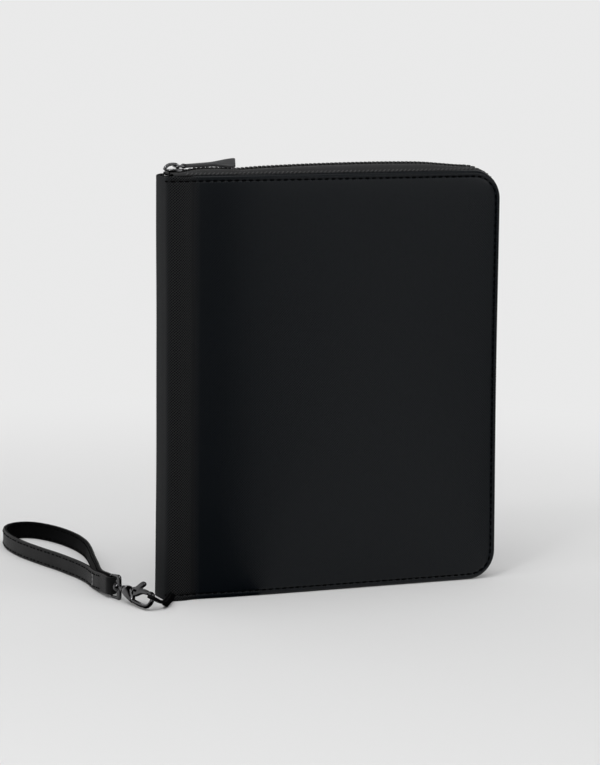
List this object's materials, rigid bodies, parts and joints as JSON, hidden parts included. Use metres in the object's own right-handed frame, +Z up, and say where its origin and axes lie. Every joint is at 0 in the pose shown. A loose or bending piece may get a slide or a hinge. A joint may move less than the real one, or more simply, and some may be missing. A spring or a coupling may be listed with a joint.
{
  "type": "zip-around tech organizer",
  "caption": "Zip-around leather organizer case with a rounded spine, padded covers, sliding zip pull, inside pockets and elastic loops, and a wrist strap on a swivel clasp.",
  "frame": {"origin": "middle of the spine wall's foot, halfway between the two covers, on the surface the case stands on", "axes": "+X from the spine to the fore-edge, +Y out of the back cover, +Z up along the spine"},
  "size_m": [0.2362, 0.2294, 0.2382],
  "materials": {
    "leather": "cross-hatch grain, satin black",
    "pull_leather": "smooth dark grey",
    "strap_lining_leather": "matt black",
    "foam": "soft",
    "board": "grey card",
    "lining_cloth": "fine twill",
    "mesh_net": "open net",
    "elastic": "ribbed elastic",
    "zip_tape": "woven tape",
    "teeth_plastic": "moulded black",
    "gunmetal": "polished gunmetal plating"
  },
  "bodies": {
    "spine": {"spine_wrap": "leather", "spine_lining": "lining_cloth", "strap_loop_tab": "leather"},
    "front_half": {"front_cover": "leather", "front_padding": "foam", "front_board": "board", "front_lining": "lining_cloth", "front_zip_tape": "zip_tape", "front_zip_teeth": "teeth_plastic", "slip_pocket": "lining_cloth", "card_pocket_upper": "lining_cloth", "card_pocket_lower": "lining_cloth", "pen_loop": "elastic"},
    "back_half": {"back_cover": "leather", "back_padding": "foam", "back_board": "board", "back_lining": "lining_cloth", "back_zip_tape": "zip_tape", "back_zip_teeth": "teeth_plastic", "zip_foot_stop": "gunmetal", "cable_band_upper": "elastic", "cable_band_lower": "elastic", "mesh_pocket": "mesh_net", "mesh_pocket_binding": "lining_cloth"},
    "slider": {"slider_body": "gunmetal", "slider_base": "gunmetal"},
    "link": {"pull_link": "gunmetal"},
    "pull": {"pull_tab": "pull_leather"},
    "hook": {"hook_body": "gunmetal", "gate_pin": "gunmetal", "gate_spring": "gunmetal"},
    "gate": {"hook_gate": "gunmetal"},
    "swivel": {"strap_ring": "gunmetal"},
    "strap": {"strap_band": "leather", "strap_lining": "strap_lining_leather"}
  },
  "joints": [
    {"name": "front_fold", "type": "hinge", "parent": "spine", "child": "front_half", "pos_m": [0.0125, -0.0135, 0], "axis": [0, 0, -1], "range_deg": [0, 90]},
    {"name": "back_fold", "type": "hinge", "parent": "spine", "child": "back_half", "pos_m": [0.0125, 0.0135, 0], "axis": [0, 0, 1], "range_deg": [0, 90]},
    {"name": "slider_travel", "type": "slide", "parent": "back_half", "child": "slider", "axis": [0.9999, 0, 0.016], "range_m": [0, 0.14]},
    {"name": "link_swing", "type": "hinge", "parent": "slider", "child": "link", "pos_m": [0.00835, 0, 0.23433], "axis": [0, -1, 0], "range_deg": [0, 120]},
    {"name": "pull_swing", "type": "hinge", "parent": "link", "child": "pull", "pos_m": [0.01355, 0, 0.23441], "axis": [0, -1, 0], "range_deg": [0, 60]},
    {"name": "hook_swing", "type": "hinge", "parent": "spine", "child": "hook", "pos_m": [-0.0147, -0.0301, 0.0068], "axis": [0.4872, 0.1125, 0.866], "range_deg": [0, 60]},
    {"name": "gate_open", "type": "hinge", "parent": "hook", "child": "gate", "pos_m": [-0.01822, -0.01285, 0.00758], "axis": [0.8438, 0.1948, -0.5], "range_deg": [0, 20], "stiffness_Nm_per_rad": 0.006, "springref_deg": -17.19},
    {"name": "swivel_spin", "type": "hinge", "parent": "hook", "child": "swivel", "pos_m": [-0.02084, -0.0035, 0.0068], "axis": [-0.225, 0.9744, 0], "continuous": true},
    {"name": "strap_swing", "type": "hinge", "parent": "swivel", "child": "strap", "pos_m": [-0.0241, 0.01063, 0.0068], "axis": [0, 0, 1], "range_deg": [-4, 45]}
  ],
  "couplings": [
    {"joint": "back_fold", "follows": "front_fold", "ratio": 1}
  ]
}
